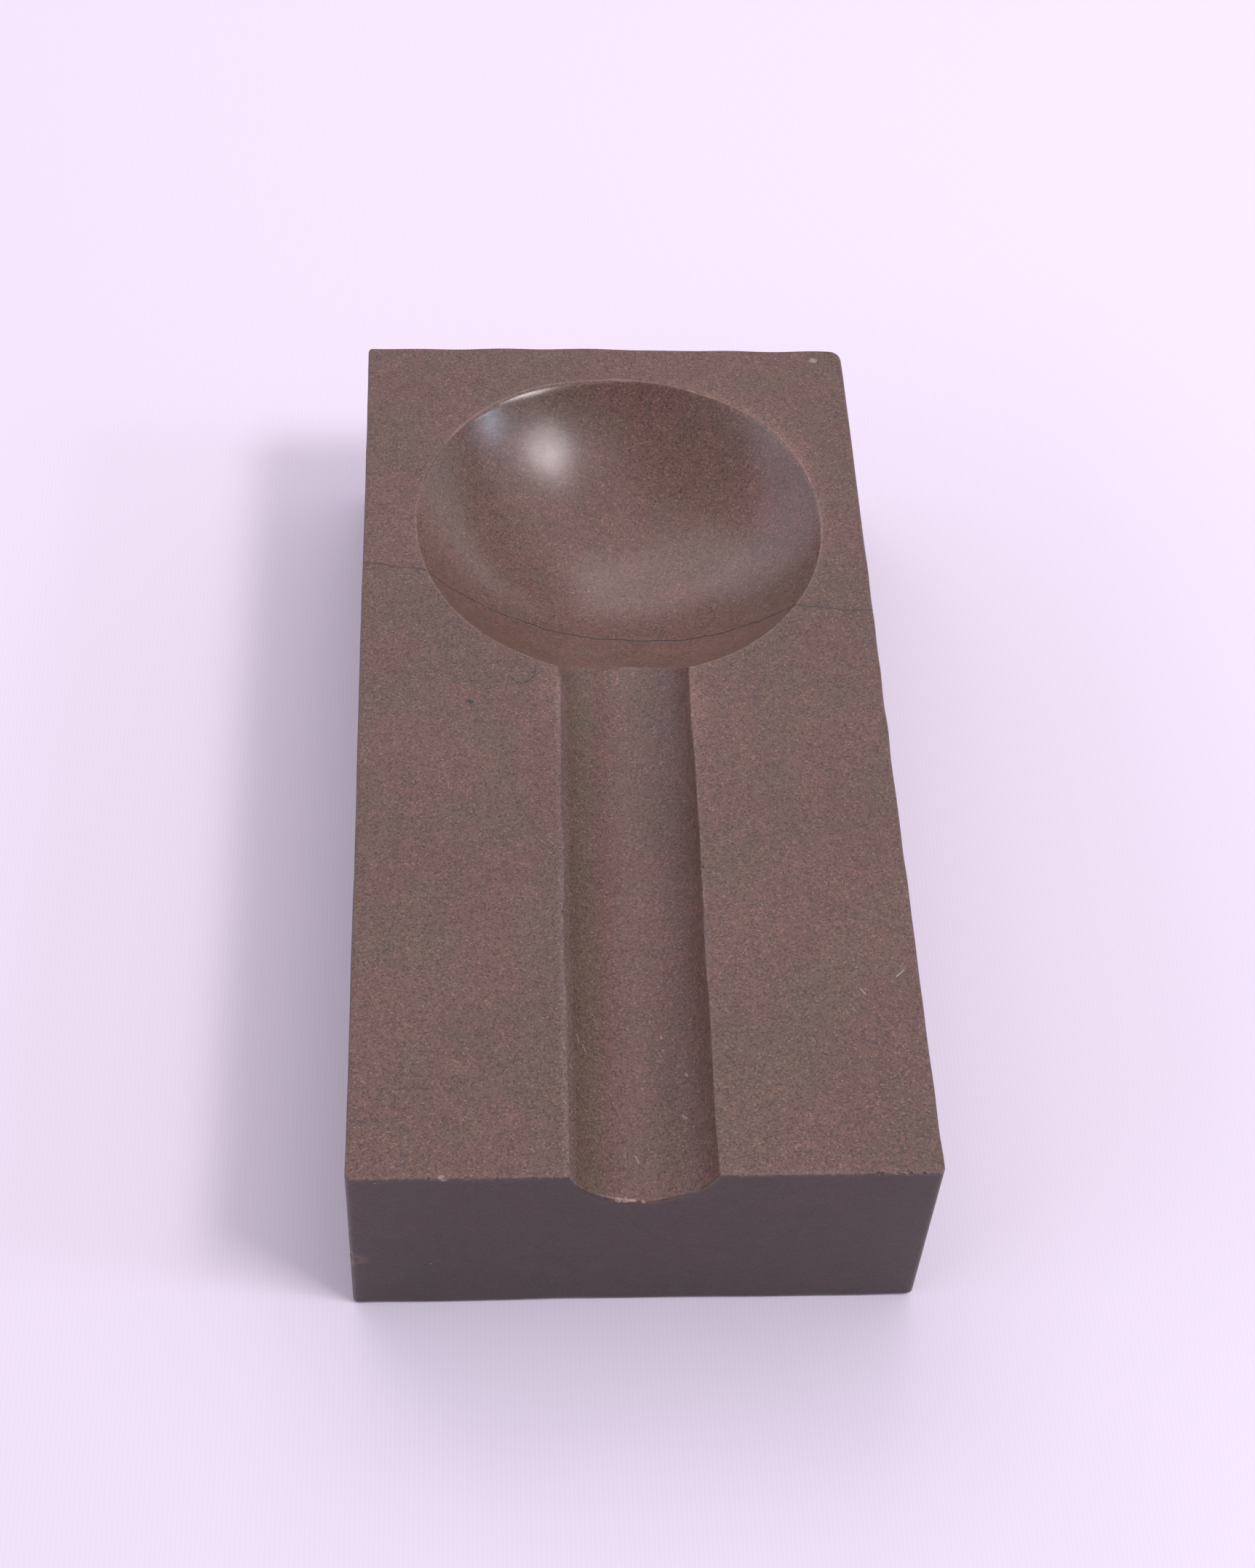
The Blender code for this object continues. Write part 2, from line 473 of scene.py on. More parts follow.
def sharp_top(flat):
    """The height of the sharp-edged stone over flat points x, y."""
    x, y = flat.T
    out = np.hypot(x - BOWL[0], y - BOWL[1])
    height = np.full(len(flat), HEIGHT)
    in_bowl = out < rim_radius(np.arctan2(y - BOWL[1], x - BOWL[0]))
    height[in_bowl] = np.minimum(HEIGHT, BOWL[2] - np.sqrt(BOWL_RADIUS**2 - out[in_bowl] ** 2))
    across = x - groove_middle(y)
    in_groove = (abs(across) < GROOVE_HALF) & (y < BOWL[1])
    floor = GROOVE[1] - np.sqrt(GROOVE_RADIUS**2 - across[in_groove] ** 2)
    height[in_groove] = np.minimum(height[in_groove], floor)
    return height


def rim_rows():
    """Rings of points along the bowl's rim, but for where the groove runs in."""
    rings = []
    angles = np.linspace(0, TAU, round(TAU * rim_radius(0.0) / ALONG_ARRIS), endpoint=False)
    for out in on_both_sides():
        radius = rim_radius(angles) + out
        x = BOWL[0] + radius * np.cos(angles)
        y = BOWL[1] + radius * np.sin(angles)
        rings.append(np.column_stack([x, y]))
    flat = np.concatenate(rings)
    mouth = (abs(flat[:, 0] - groove_middle(flat[:, 1])) < GROOVE_HALF) & (flat[:, 1] < BOWL[1])
    return flat[~mouth]


def groove_rows():
    """Lines of points along both of the groove's arrises, as far as the bowl."""
    lines = []
    places = stops(-HALF_LENGTH, BOWL[1], ALONG_ARRIS)
    for out in on_both_sides():
        for side in (-1, 1):
            x = groove_middle(places) + side * (GROOVE_HALF + out)
            lines.append(np.column_stack([x, places]))
    flat = np.concatenate(lines)
    return flat[np.hypot(flat[:, 0] - BOWL[0], flat[:, 1] - BOWL[1]) > rim_radius(-math.pi / 2)]


def junction_rows():
    """Rows of points along the arris where the groove's floor breaks into the bowl."""
    reach = math.asin(GROOVE_HALF / GROOVE_RADIUS)
    turn = np.linspace(-reach, reach, round(2 * reach * GROOVE_RADIUS / ALONG_ARRIS))
    x = GROOVE_RADIUS * np.sin(turn)
    z = GROOVE[1] - GROOVE_RADIUS * np.cos(turn)
    y = BOWL[1] - RIM
    for _ in range(3):
        across = x + groove_middle(y) - BOWL[0]
        y = BOWL[1] - np.sqrt(BOWL_RADIUS**2 - across**2 - (z - BOWL[2]) ** 2)
    x = x + groove_middle(y)
    return np.concatenate([np.column_stack([x, y + out]) for out in on_both_sides()])


def seam_rows():
    """Rows of points along the seam over the top of the stone."""
    x = stops(-HALF_WIDTH, HALF_WIDTH, ALONG_ARRIS)
    y = seam_y(x, HEIGHT)
    for _ in range(3):
        y = seam_y(x, sharp_top(np.column_stack([x, y])))
    return np.concatenate([np.column_stack([x, y + out]) for out in on_both_sides(SEAM_ROWS)])


def top_layout():
    """Flat points of the top face and the hollows in it."""
    ends = stops(-HALF_LENGTH, HALF_LENGTH, ALONG_ARRIS)
    front = stops(-HALF_WIDTH, HALF_WIDTH, ALONG_FRONT_ARRIS)
    back = stops(-HALF_WIDTH, HALF_WIDTH, ALONG_ARRIS)
    border = border_rows(front, back, ends, ends, HALF_WIDTH, HALF_LENGTH)
    rows = [border, rim_rows(), groove_rows(), junction_rows(), seam_rows()]
    fixed = without_twins(np.concatenate(rows))
    loose = thinned(honeycomb(HALF_WIDTH, HALF_LENGTH, TOP_GRID), fixed)
    return triangulated(np.concatenate([fixed, loose]))


def edge_of(flat, axis, value):
    """The places along one straight edge of a laid-out face, in order."""
    on_edge = abs(flat[:, axis] - value) < TOUCHING
    return np.sort(flat[on_edge, 1 - axis])


def below_top(places, middle, radius, half, rows):
    """Points under the upper edge of an upright face, in rows that follow it round the notch."""
    lines = []
    across = places - middle
    in_notch = abs(across) < half
    sunk = GROOVE[1] - np.sqrt(np.maximum(radius**2 - across**2, 0))
    height = np.where(in_notch, sunk, HEIGHT)
    away = np.where(in_notch, across / radius, 0.0)
    down = np.where(in_notch, (sunk - GROOVE[1]) / radius, -1.0)
    for inset in rows:
        lines.append(np.column_stack([places + inset * away, height + inset * down]))
    return np.concatenate(lines)


def upright_layout(upper, half_u, notched=False, seam_at=None):
    """Flat points of an upright face: u along the ground and v the height.

    upper is where the top face's own points meet it, so that the two join without a gap.
    """
    lower = stops(-half_u, half_u, ALONG_BOTTOM)
    ends = stops(0, HEIGHT, ALONG_ARRIS)
    half_v = HEIGHT / 2
    border = border_rows(lower, lower[:0], ends - half_v, ends - half_v, half_u, half_v) + [0, half_v]
    middle = groove_middle(-HALF_LENGTH)
    half = GROOVE_HALF if notched else 0.0
    under = below_top(upper, middle, GROOVE_RADIUS, half, [0.0, *ROWS])
    fixed = [under[: len(upper)], border, under[len(upper) :]]
    if seam_at is not None:
        heights = ends[ends > SEAM_ROWS_FROM]
        for out in on_both_sides(SEAM_ROWS):
            fixed.append(np.column_stack([seam_y(seam_at, heights) + out, heights]))
    fixed = without_twins(np.concatenate(fixed))
    loose = honeycomb(half_u, half_v, SIDE_GRID) + [0, half_v]
    points = np.concatenate([fixed, thinned(loose, fixed)])
    kept = inside_face(points, middle, half)
    flat, triangles = triangulated(points[kept])
    centres = flat[triangles].mean(axis=1)
    return flat, triangles[inside_face(centres, middle, half, slack=-10 * TOUCHING)]


def inside_face(points, middle, half, slack=TOUCHING):
    """Which points are below the notch's curve and the top face, give or take the slack."""
    across = points[:, 0] - middle
    curve = GROOVE[1] - np.sqrt(np.maximum(GROOVE_RADIUS**2 - across**2, 0))
    ceiling = np.where(abs(across) < half, curve, HEIGHT)
    return points[:, 1] <= ceiling + slack


def bottom_layout(front, back, left, right):
    """Flat points of the underside, whose edges take the upright faces' own places."""
    border = border_rows(front, back, left, right, HALF_WIDTH, HALF_LENGTH)
    fixed = without_twins(border)
    loose = thinned(honeycomb(HALF_WIDTH, HALF_LENGTH, BOTTOM_GRID), fixed)
    return triangulated(np.concatenate([fixed, loose]))


# The side of the flat texture map, and each face's corner and scale in it
MAP_SIZE = 0.184
MAP_PLACES = {
    "top": (0.002, 0.002, 1.0),
    "front": (0.086, 0.002, 1.0),
    "back": (0.086, 0.039, 1.0),
    "left": (0.086, 0.076, 0.66),
    "right": (0.111, 0.076, 0.66),
    "bottom": (0.136, 0.076, 0.58),
}


def map_place(name, u, v):
    """Texture coordinates for distances u and v from a face's low corner."""
    at_u, at_v, scale = MAP_PLACES[name]
    return np.column_stack([at_u + scale * u, at_v + scale * v]) / MAP_SIZE


def laid_out_stone():
    """Every face's points in space, its triangles facing out, and its texture coordinates."""
    flat, triangles = top_layout()
    x, y = flat.T
    space = np.column_stack([x, y, sharp_top(flat)])
    faces = [(space, triangles, map_place("top", x + HALF_WIDTH, y + HALF_LENGTH))]
    upper = {
        "front": edge_of(flat, 1, -HALF_LENGTH),
        "back": edge_of(flat, 1, HALF_LENGTH),
        "left": edge_of(flat, 0, -HALF_WIDTH),
        "right": edge_of(flat, 0, HALF_WIDTH),
    }
    lower = {}
    for name, sign in (("front", -1), ("back", 1)):
        flat, triangles = upright_layout(upper[name], HALF_WIDTH, notched=name == "front")
        u, v = flat.T
        lower[name] = edge_of(flat, 1, 0)
        space = np.column_stack([u, np.full(len(u), sign * HALF_LENGTH), v])
        faces.append((space, triangles[:, ::-sign], map_place(name, u + HALF_WIDTH, v)))
    for name, sign in (("left", -1), ("right", 1)):
        flat, triangles = upright_layout(upper[name], HALF_LENGTH, seam_at=sign * HALF_WIDTH)
        u, v = flat.T
        lower[name] = edge_of(flat, 1, 0)
        space = np.column_stack([np.full(len(u), sign * HALF_WIDTH), u, v])
        faces.append((space, triangles[:, ::sign], map_place(name, v, u + HALF_LENGTH)))
    flat, triangles = bottom_layout(lower["front"], lower["back"], lower["left"], lower["right"])
    x, y = flat.T
    space = np.column_stack([x, y, np.zeros(len(x))])
    faces.append((space, triangles[:, ::-1], map_place("bottom", x + HALF_WIDTH, y + HALF_LENGTH)))
    return faces


def stone_mesh(name):
    """The stone as one closed mesh, with a texture map in which each face lies flat."""
    faces = laid_out_stone()
    starts = np.cumsum([0] + [len(space) for space, _, _ in faces])
    points = settled(np.concatenate([space for space, _, _ in faces]))
    triangles = np.concatenate([t + start for (_, t, _), start in zip(faces, starts)])
    places = np.concatenate([uv for _, _, uv in faces])
    mesh = bpy.data.meshes.new(name)
    mesh.from_pydata(points.tolist(), [], triangles.tolist())
    layer = mesh.uv_layers.new(name="OFBake")
    layer.data.foreach_set("uv", places[triangles.ravel()].astype(np.float32).ravel())
    shape = bmesh.new()
    shape.from_mesh(mesh)
    bmesh.ops.remove_doubles(shape, verts=shape.verts, dist=WELD)
    shape.to_mesh(mesh)
    shape.free()
    mesh.shade_smooth()
    add_surface_marks(mesh)
    return mesh


def add_surface_marks(mesh):
    """What the material needs to know at each point: the hollow or side, the wear and the droop (which
    also takes a painted sheen), and the chips.
    """
    points = np.empty(3 * len(mesh.vertices), np.float32)
    mesh.vertices.foreach_get("co", points)
    points = points.reshape(-1, 3).astype(float)
    sides, ends, bottom, top, bowl, groove = surfaces(points)
    reached = np.sort(np.column_stack([sides, ends, bottom, top, bowl, groove]), axis=1)
    marks = {
        "in_bowl": bowl > -HOLLOW_REACH,
        "in_groove": (groove > -HOLLOW_REACH) & (bowl < -HOLLOW_REACH),
        "on_side": (np.maximum(sides, ends) > -SIDE_REACH) & (top < -SIDE_REACH),
        # how far the top droops; the colour makes it paler there, partly wear and partly painted sheen
        "worn": np.where(top > -WORN_REACH, droop(points[:, 0], points[:, 1]) / DROOP, 0),
        "arris": np.exp(np.minimum(reached[:, -2], 0) / ARRIS_WEAR),
        "chip": smooth_step(-CHIP_REACH, 0.0, chip_distance(points, CHIPS)),
        "scar": smooth_step(-SCAR_REACH, 0.0, chip_distance(points, CHIPS[:SCARS])),
    }
    for name, values in marks.items():
        attribute = mesh.attributes.new(name, "FLOAT", "POINT")
        attribute.data.foreach_set("value", np.asarray(values, np.float32))


# ---------------------------------------------------------------- the stone's material

REDDISH = (0.134, 0.074, 0.063)
OLIVE = (0.119, 0.075, 0.059)
CHIP_COLOUR = (0.20, 0.13, 0.10)
SCAR_COLOUR = (0.38, 0.26, 0.22)
OLIVE_BAND = (0.108, 0.076, 0.052)
# paler lip of the groove: partly wear, partly a painted highlight where the rounded left arris catches
# the light
LIP_WEAR_AND_HIGHLIGHT = (0.19, 0.14, 0.13)
ARRIS_COLOUR = (0.18, 0.115, 0.085)
DUST_COLOUR = (0.46, 0.40, 0.38)
SEAM_COLOUR = (0.035, 0.028, 0.028)

# Sizes of the random patches in the colour
BROAD_SHADES = 30 * MM
WIDE_CLOUDS = 17 * MM
SMALL_CLOUDS = 5 * MM
MOTTLES = 2.4 * MM
SPECKS = 0.22 * MM

# The grains' tints, and what share of all the grains comes before each
GRAINS = [
    (0.00, (0.38, 0.39, 0.42)),
    (0.14, (0.70, 0.72, 0.75)),
    (0.34, (0.99, 1.00, 1.01)),
    (0.58, (1.10, 1.02, 0.96)),
    (0.74, (1.42, 1.18, 1.00)),
    (0.85, (1.28, 1.32, 1.32)),
    (0.95, (2.05, 1.95, 1.85)),
]
GRAIN_SIZE = 0.23 * MM

# The grains' contrast and the stone's lightness, and what each place adds to them. The bowl's extra
# lightness is painted sheen, the drooping top's is partly wear and partly painted sheen, and the sides'
# loss of it is painted shade
GRAIN_CONTRAST = 0.70
SIDE_CONTRAST = -0.34
BOWL_CONTRAST = -0.08
LIGHTNESS = 0.97
BOWL_SHEEN_LIGHTNESS = 0.12
WORN_AND_SHEEN_LIGHTNESS = 0.40
SIDE_SHADE_LIGHTNESS = -0.56

# Bands along the groove: the place across it, where the band is full and where it ends, its
# strength and its colour
GROOVE_BANDS = [
    (-7.0 * MM, 1.0 * MM, 2.4 * MM, 0.55, OLIVE_BAND),
    (-1.5 * MM, 2.0 * MM, 4.5 * MM, 0.60, REDDISH),
]
# The paler band along the groove's left lip, partly wear and partly painted highlight: its place across,
# where it is full and where it ends, and its strength
LEFT_LIP_WEAR_AND_HIGHLIGHT = (0.2 * MM - GROOVE_HALF, 0.3 * MM, 1.3 * MM, 0.45)

# The colour of the seam, across it and along it
SEAM_DARK = (0.10 * MM, 0.25 * MM)
SEAM_FADES = (24 * MM, 33 * MM)  # from the middle, towards either side
SEAM_AT_SIDES = 0.65

# The healed crack's place, and its step down across the groove
HEALED_Y = -37.2 * MM
HEALED_WANDER = 1.2 * MM
HEALED_STEP = -2.7 * MM
HEALED_STEP_X = 1 * MM
HEALED_STEP_RUN = 9 * MM
HEALED_WIDTH = (0.04 * MM, 0.17 * MM)
HEALED_STRENGTH = 0.45

# Specks of dust: how far apart they could be, what share of them is left out, and their sizes
DUST_SPACING = 3.6 * MM
DUST_LEFT_OUT = 0.93
GROOVE_DUST_KEPT = -0.45  # added to the share left out
DUST_SIZES = (0.016, 0.038)  # of the spacing
DUST_STRENGTH = 0.6

# Roughness of the sawn top, what polish takes off it, and the height of the relief
ROUGHNESS = 0.53
BOWL_POLISH = 0.30
GROUND_POLISH = 0.14  # in the groove and on the sides
ARRIS_POLISH = 0.12
RELIEF = 0.030 * MM
RELIEF_LOST = 2.8  # for each unit of polish

SCAR_STRENGTH = 0.85
SCUFF = (0.8 * MM - HALF_WIDTH, -HALF_LENGTH, 12.9 * MM)  # a rubbed spot on the front, by its left end
SCUFF_REACH = (0.5 * MM, 2.4 * MM)
SCUFF_STRENGTH = 0.5

# Fine marks on the top and in the groove, from above: start, end and width in millimetres
DARK_STROKES = [
    ((-17.1, 7.2), (-16.4, 6.2), 0.10),
    ((-16.4, 6.2), (-15.2, 5.8), 0.10),
    ((-15.2, 5.8), (-14.1, 6.3), 0.10),
    ((-14.1, 6.3), (-13.4, 7.3), 0.10),
    ((-13.4, 7.3), (-13.1, 9.2), 0.09),
    ((-23.4, 2.3), (-23.0, 2.0), 0.40),
]
PALE_STROKES = [
    ((35.0, 77.5), (35.3, 77.35), 0.50),
    ((-8.6, -55.8), (-8.3, -56.9), 0.10),
    ((-7.8, -56.8), (-7.4, -57.7), 0.10),
    ((36.6, -48.3), (37.7, -47.3), 0.16),
    ((31.3, -50.4), (31.9, -51.2), 0.14),
    ((3.4, -53.9), (3.5, -54.3), 0.13),
    ((3.5, -56.2), (3.6, -56.4), 0.12),
    ((6.4, -61.3), (6.6, -61.7), 0.16),
    ((0.4, -62.1), (0.6, -62.3), 0.10),
    ((5.7, -67.7), (6.2, -68.3), 0.13),
    ((-0.9, -72.9), (-0.5, -73.9), 0.14),
    ((0.0, -47.8), (0.1, -48.0), 0.12),
    ((-9.7, -61.8), (-9.5, -62.0), 0.12),
]
PALE_STRENGTH = 0.42


class Nodes:
    """A material's nodes, made as they are called for."""

    def __init__(self, name):
        self.material = bpy.data.materials.new(name)
        self.material.use_nodes = True
        self.tree = self.material.node_tree
        self.shader = self.tree.nodes["Principled BSDF"]

    def fill(self, socket, value):
        if isinstance(value, bpy.types.NodeSocket):
            self.tree.links.new(value, socket)
        elif socket.type == "RGBA":
            socket.default_value = (*value, 1.0)
        else:
            socket.default_value = value

    def make(self, kind, inputs, output=0, **settings):
        """The output of a new node, with its inputs given as values or as other nodes' outputs."""
        node = self.tree.nodes.new("ShaderNode" + kind)
        for name, value in settings.items():
            setattr(node, name, value)
        for key, value in inputs.items():
            self.fill(node.inputs[key], value)
        return node.outputs[output]

    def set(self, **inputs):
        """The finished surface's own sockets."""
        for name, value in inputs.items():
            self.fill(self.shader.inputs[name.replace("_", " ")], value)

    def math(self, operation, *values):
        return self.make("Math", dict(enumerate(values)), operation=operation)

    def sum_of(self, base, *terms):
        """A base value, plus each term's value times its own factor."""
        for value, factor in terms:
            base = self.math("MULTIPLY_ADD", value, factor, base)
        return base

    def product(self, first, *others):
        for other in others:
            first = self.math("MULTIPLY", first, other)
        return first

    def vector(self, operation, *values, output="Vector"):
        return self.make("VectorMath", dict(enumerate(values)), output, operation=operation)

    def attribute(self, name):
        return self.make("Attribute", {}, "Fac", attribute_name=name)

    def noise(self, at, size, detail=2.0):
        return self.make("TexNoise", {"Vector": at, "Scale": 1 / size, "Detail": detail}, "Fac")

    def spread(self, value, low, high, to_low=0.0, to_high=1.0):
        """The value smoothly taken from one range to another."""
        inputs = {"Value": value, "From Min": low, "From Max": high, "To Min": to_low, "To Max": to_high}
        return self.make("MapRange", inputs, interpolation_type="SMOOTHSTEP")

    def beside(self, off, full, end, strength=1.0):
        """The strength as far as the first distance, either way, and nothing beyond the second."""
        return self.spread(self.math("ABSOLUTE", off), full, end, strength, 0.0)

    def mix(self, share, first, second, blend="MIX"):
        inputs = {0: share, 6: first, 7: second}
        return self.make("Mix", inputs, 2, data_type="RGBA", blend_type=blend)

    def times(self, first, second):
        return self.mix(1.0, first, second, "MULTIPLY")

    def grain_tints(self, value):
        """One tint for each grain."""
        ramp = self.tree.nodes.new("ShaderNodeValToRGB")
        ramp.color_ramp.interpolation = "CONSTANT"
        stops = ramp.color_ramp.elements
        while len(stops) < len(GRAINS):
            stops.new(0.5)
        for stop, (place, tint) in zip(stops, GRAINS):
            stop.position = place
            stop.color = (*tint, 1.0)
        self.fill(ramp.inputs["Fac"], value)
        return ramp.outputs["Color"]

    def stroke(self, flat, start, end, width):
        """1 along a straight stroke drawn from above, and 0 beside it."""
        a = Vector((*start, 0)) * MM
        along = Vector((*end, 0)) * MM - a
        out = self.vector("SUBTRACT", flat, a)
        share = self.vector("DOT_PRODUCT", out, along / along.length_squared, output="Value")
        nearest = self.vector("SCALE", along)
        self.fill(nearest.node.inputs["Scale"], self.make("Clamp", {"Value": share}))
        off = self.vector("DISTANCE", out, nearest, output="Value")
        return self.spread(off, 0.3 * width * MM, 1.3 * width * MM, 1.0, 0.0)

    def strokes(self, flat, table):
        found = 0.0
        for start, end, width in table:
            found = self.math("MAXIMUM", found, self.stroke(flat, start, end, width))
        return found


class StoneNodes(Nodes):
    """The stone's nodes, with the place on it and the mesh's own marks at hand."""

    def __init__(self, name):
        super().__init__(name)
        self.at = self.make("TexCoord", {}, "Object")
        split = self.make("SeparateXYZ", {0: self.at}).node.outputs
        self.x, self.y, self.z = split["X"], split["Y"], split["Z"]
        self.in_bowl = self.attribute("in_bowl")
        self.in_groove = self.attribute("in_groove")
        self.on_side = self.attribute("on_side")
        self.off_side = self.math("SUBTRACT", 1.0, self.on_side)
        self.arris = self.attribute("arris")
        self.upper = self.spread(self.z, 15 * MM, 16 * MM)

    def patches(self, size, low, high, to_low=0.0, to_high=1.0, detail=2.0):
        """Random patches of about one size, taken from one range of values to another."""
        return self.spread(self.noise(self.at, size, detail), low, high, to_low, to_high)


def stone_clouds(n):
    """Clouds of redder and more olive stone, and of lighter and darker."""
    small = n.noise(n.at, SMALL_CLOUDS, 3.0)
    wide = n.noise(n.at, WIDE_CLOUDS, 3.0)
    cloud = n.sum_of(0.0, (small, 0.35), (wide, 0.65))
    redness = n.math("SUBTRACT", n.spread(cloud, 0.38, 0.62), 0.5)
    strength = n.sum_of(1.0, (n.in_bowl, -0.15), (n.on_side, 0.6))
    colour = n.mix(n.math("MULTIPLY_ADD", redness, strength, 0.5), OLIVE, REDDISH)
    colour = n.times(colour, n.patches(MOTTLES, 0.25, 0.75, 0.94, 1.06, detail=4.0))
    return n.times(colour, n.patches(BROAD_SHADES, 0.3, 0.7, 0.95, 1.05))


def groove_tones(n, colour):
    """The groove's left side is more olive than its floor, below a paler lip that is partly wear and
    partly a painted highlight of its rounded arris.
    """
    middle = n.sum_of(GROOVE[0] - GROOVE_SKEW * GROOVE_PIVOT_Y, (n.y, GROOVE_SKEW))
    across = n.math("SUBTRACT", n.x, middle)
    for place, full, end, strength, tone in GROOVE_BANDS:
        band = n.beside(n.math("SUBTRACT", across, place), full, end, strength)
        colour = n.mix(n.product(n.in_groove, band), colour, tone)
    # the paler left lip: partly wear, partly a painted highlight of the rounded arris
    place, full, end, strength = LEFT_LIP_WEAR_AND_HIGHLIGHT
    lip = n.beside(n.math("SUBTRACT", across, place), full, end, strength)
    before_bowl = n.spread(n.y, BOWL[1] - RIM, BOWL[1] - RIM + 1 * MM, 1.0, 0.0)
    return n.mix(n.product(lip, before_bowl, n.off_side), colour, LIP_WEAR_AND_HIGHLIGHT)


def grains(n, colour):
    """Grains of several tints, and finer specks over them."""
    cells = n.make("TexVoronoi", {"Vector": n.at, "Scale": 1 / GRAIN_SIZE}, "Color")
    cell = n.make("SeparateColor", {0: cells})
    contrast = n.sum_of(GRAIN_CONTRAST, (n.on_side, SIDE_CONTRAST), (n.in_bowl, BOWL_CONTRAST))
    colour = n.mix(contrast, colour, n.times(colour, n.grain_tints(cell)))
    return n.times(colour, n.patches(SPECKS, 0.2, 0.8, 0.88, 1.12, detail=1.0))


def lightened(n, colour):
    """The stone's lightness: a painted sheen in the bowl, paler where the top droops (partly wear, partly
    painted sheen), and painted shade on its sides.
    """
    # painted sheen in the bowl, wear and painted sheen where the top droops, painted shade on the sides
    hollows = n.sum_of(LIGHTNESS, (n.in_bowl, BOWL_SHEEN_LIGHTNESS), (n.attribute("worn"), WORN_AND_SHEEN_LIGHTNESS))
    return n.times(colour, n.sum_of(hollows, (n.on_side, SIDE_SHADE_LIGHTNESS)))


def seam_line(n):
    """The seam that the mesh is notched along: 1 in it and 0 beside it, with weaker stretches."""
    place = n.sum_of(BOWL[1] - SEAM_AHEAD_OF_BOWL, (n.x, SEAM_SLOPE))
    for size, kx, kz, phase in SEAM_WAVES:
        turn = n.sum_of(phase, (n.z, kz), (n.x, kx))
        place = n.sum_of(place, (n.math("SINE", turn), size))
    line = n.beside(n.math("SUBTRACT", n.y, place), *SEAM_DARK)
    strength = n.patches(5 * MM, 0.3, 0.55, 0.6, 1.0)
    fade = n.spread(n.math("ABSOLUTE", n.x), *SEAM_FADES, 1.0, SEAM_AT_SIDES)
    return n.product(line, strength, fade)


def healed_line(n):
    """A pale crack, long since closed, that steps down across the groove."""
    step = n.math("TANH", n.math("DIVIDE", n.math("SUBTRACT", n.x, HEALED_STEP_X), HEALED_STEP_RUN))
    wander = n.noise(n.at, 4 * MM)
    place = n.sum_of(HEALED_Y, (wander, HEALED_WANDER), (step, HEALED_STEP))
    line = n.beside(n.math("SUBTRACT", n.y, place), *HEALED_WIDTH)
    return n.product(line, n.patches(2.2 * MM, 0.42, 0.60), n.upper, HEALED_STRENGTH)


def wear(n, colour):
    """Rubbed arrises, most of all in front, the two cracks, the chips, and the scuff."""
    front = n.spread(n.y, -HALF_LENGTH, 3 * MM - HALF_LENGTH, 1.0, 0.2)
    rubbed = n.product(n.arris, front, n.patches(1.6 * MM, 0.35, 0.65, 0.1, 0.7, detail=3.0))
    chipped = n.product(n.attribute("chip"), n.patches(0.8 * MM, 0.35, 0.6, 0.2, 0.8))
    scarred = n.product(n.attribute("scar"), SCAR_STRENGTH)
    from_scuff = n.vector("DISTANCE", n.at, SCUFF, output="Value")
    scuffed = n.product(n.beside(from_scuff, *SCUFF_REACH, SCUFF_STRENGTH), n.patches(1.2 * MM, 0.3, 0.6))
    colour = n.mix(rubbed, colour, ARRIS_COLOUR)
    colour = n.mix(seam_line(n), colour, SEAM_COLOUR)
    colour = n.mix(healed_line(n), colour, ARRIS_COLOUR)
    colour = n.mix(chipped, colour, CHIP_COLOUR)
    colour = n.mix(scarred, colour, SCAR_COLOUR)
    return n.mix(scuffed, colour, ARRIS_COLOUR)


def dust(n):
    """A few pale specks, most of them in the groove."""
    spots = n.make("TexVoronoi", {"Vector": n.at, "Scale": 1 / DUST_SPACING}, "Distance")
    pick = n.make("SeparateColor", {0: spots.node.outputs["Color"]})
    left_out = n.sum_of(DUST_LEFT_OUT, (n.in_groove, GROOVE_DUST_KEPT))
    kept = n.math("GREATER_THAN", pick, left_out)
    size = n.spread(pick.node.outputs["Green"], 0.0, 1.0, *DUST_SIZES)
    return n.product(n.math("LESS_THAN", spots, size), kept, DUST_STRENGTH)


def fine_marks(n, colour):
    """The dark and pale strokes, and the dust."""
    flat = n.vector("MULTIPLY", n.at, (1.0, 1.0, 0.0))
    dark = n.product(n.strokes(flat, DARK_STROKES), n.upper)
    pale = n.product(n.strokes(flat, PALE_STROKES), n.off_side, PALE_STRENGTH)
    colour = n.mix(dark, colour, SEAM_COLOUR)
    return n.mix(n.math("MAXIMUM", pale, dust(n)), colour, DUST_COLOUR)


def polish_and_relief(n):
    """The roughness, and the bumps that polish takes down."""
    ground = n.math("ADD", n.in_groove, n.on_side)
    polish = n.sum_of(0.0, (ground, GROUND_POLISH), (n.in_bowl, BOWL_POLISH))
    patches = n.noise(n.at, 3 * MM, 3.0)
    rough = n.sum_of(ROUGHNESS, (polish, -1.0), (patches, 0.10), (n.arris, -ARRIS_POLISH))
    relief = n.sum_of(0.0, (n.noise(n.at, 1.4 * MM), 1.2), (n.noise(n.at, 0.30 * MM), 1.0))
    depth = n.sum_of(1.0, (polish, -RELIEF_LOST))
    return rough, n.make("Bump", {"Strength": depth, "Distance": RELIEF, "Height": relief})


def basalt():
    """Fine-grained stone, matt on the sawn top and smoother where it is ground."""
    n = StoneNodes("basalt")
    colour = groove_tones(n, stone_clouds(n))
    colour = lightened(n, grains(n, colour))
    colour = fine_marks(n, wear(n, colour))
    rough, bump = polish_and_relief(n)
    n.set(Base_Color=colour, Roughness=rough, Normal=bump, IOR=1.5)
    return n.material


# ---------------------------------------------------------------- floor, light and camera

PAPER = (0.80, 0.73, 0.85)
PAPER_ROUGHNESS = 0.85
RIB_WIDTH = 0.66 * MM
FIBRE_SIZE = 0.5 * MM
FLOOR_HALF = 2.0

